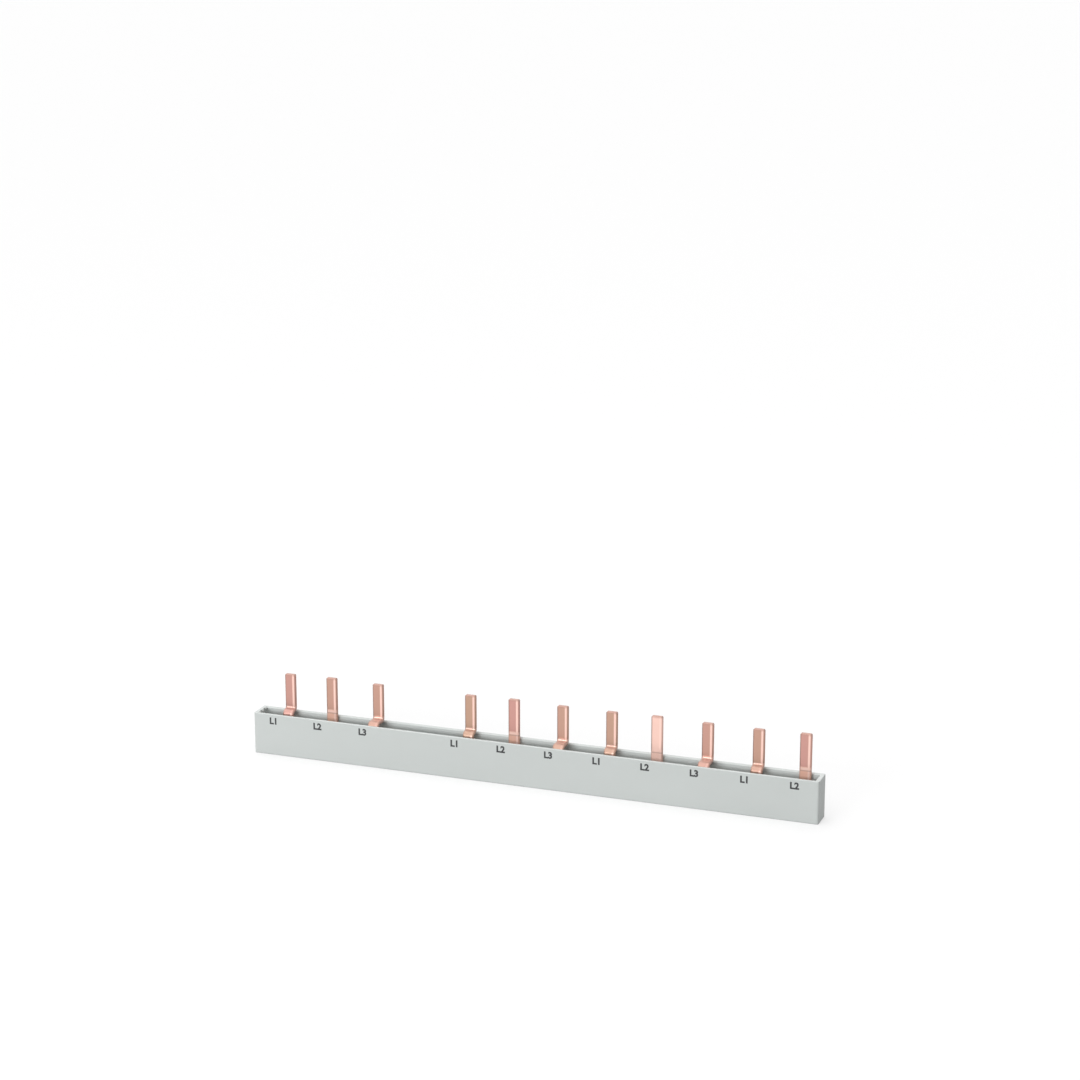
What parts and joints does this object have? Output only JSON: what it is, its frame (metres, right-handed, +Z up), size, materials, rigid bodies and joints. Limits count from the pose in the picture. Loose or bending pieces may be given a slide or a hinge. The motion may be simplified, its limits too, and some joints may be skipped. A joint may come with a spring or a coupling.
{
  "type": "comb busbar",
  "caption": "Narrow upright tray with a row of flat copper pins rising from it, cranked out of three insulated combs into one line.",
  "frame": {"origin": "middle of the housing's underside", "axes": "+X along the row of pins towards the last place, +Y from the lettered front to the back, +Z up along the pins"},
  "size_m": [0.2134, 0.0088, 0.0299],
  "materials": {
    "housing_plastic": "light grey moulded plastic, fine satin grain",
    "separator_plastic": "grey insulating strip, matte",
    "copper": "bare rolled copper, satin, with coined edges"
  },
  "bodies": {
    "root": {"housing": "housing_plastic", "separator_front": "separator_plastic", "separator_rear": "separator_plastic", "comb_l1": "copper", "comb_l2": "copper", "comb_l3": "copper"}
  },
  "joints": []
}
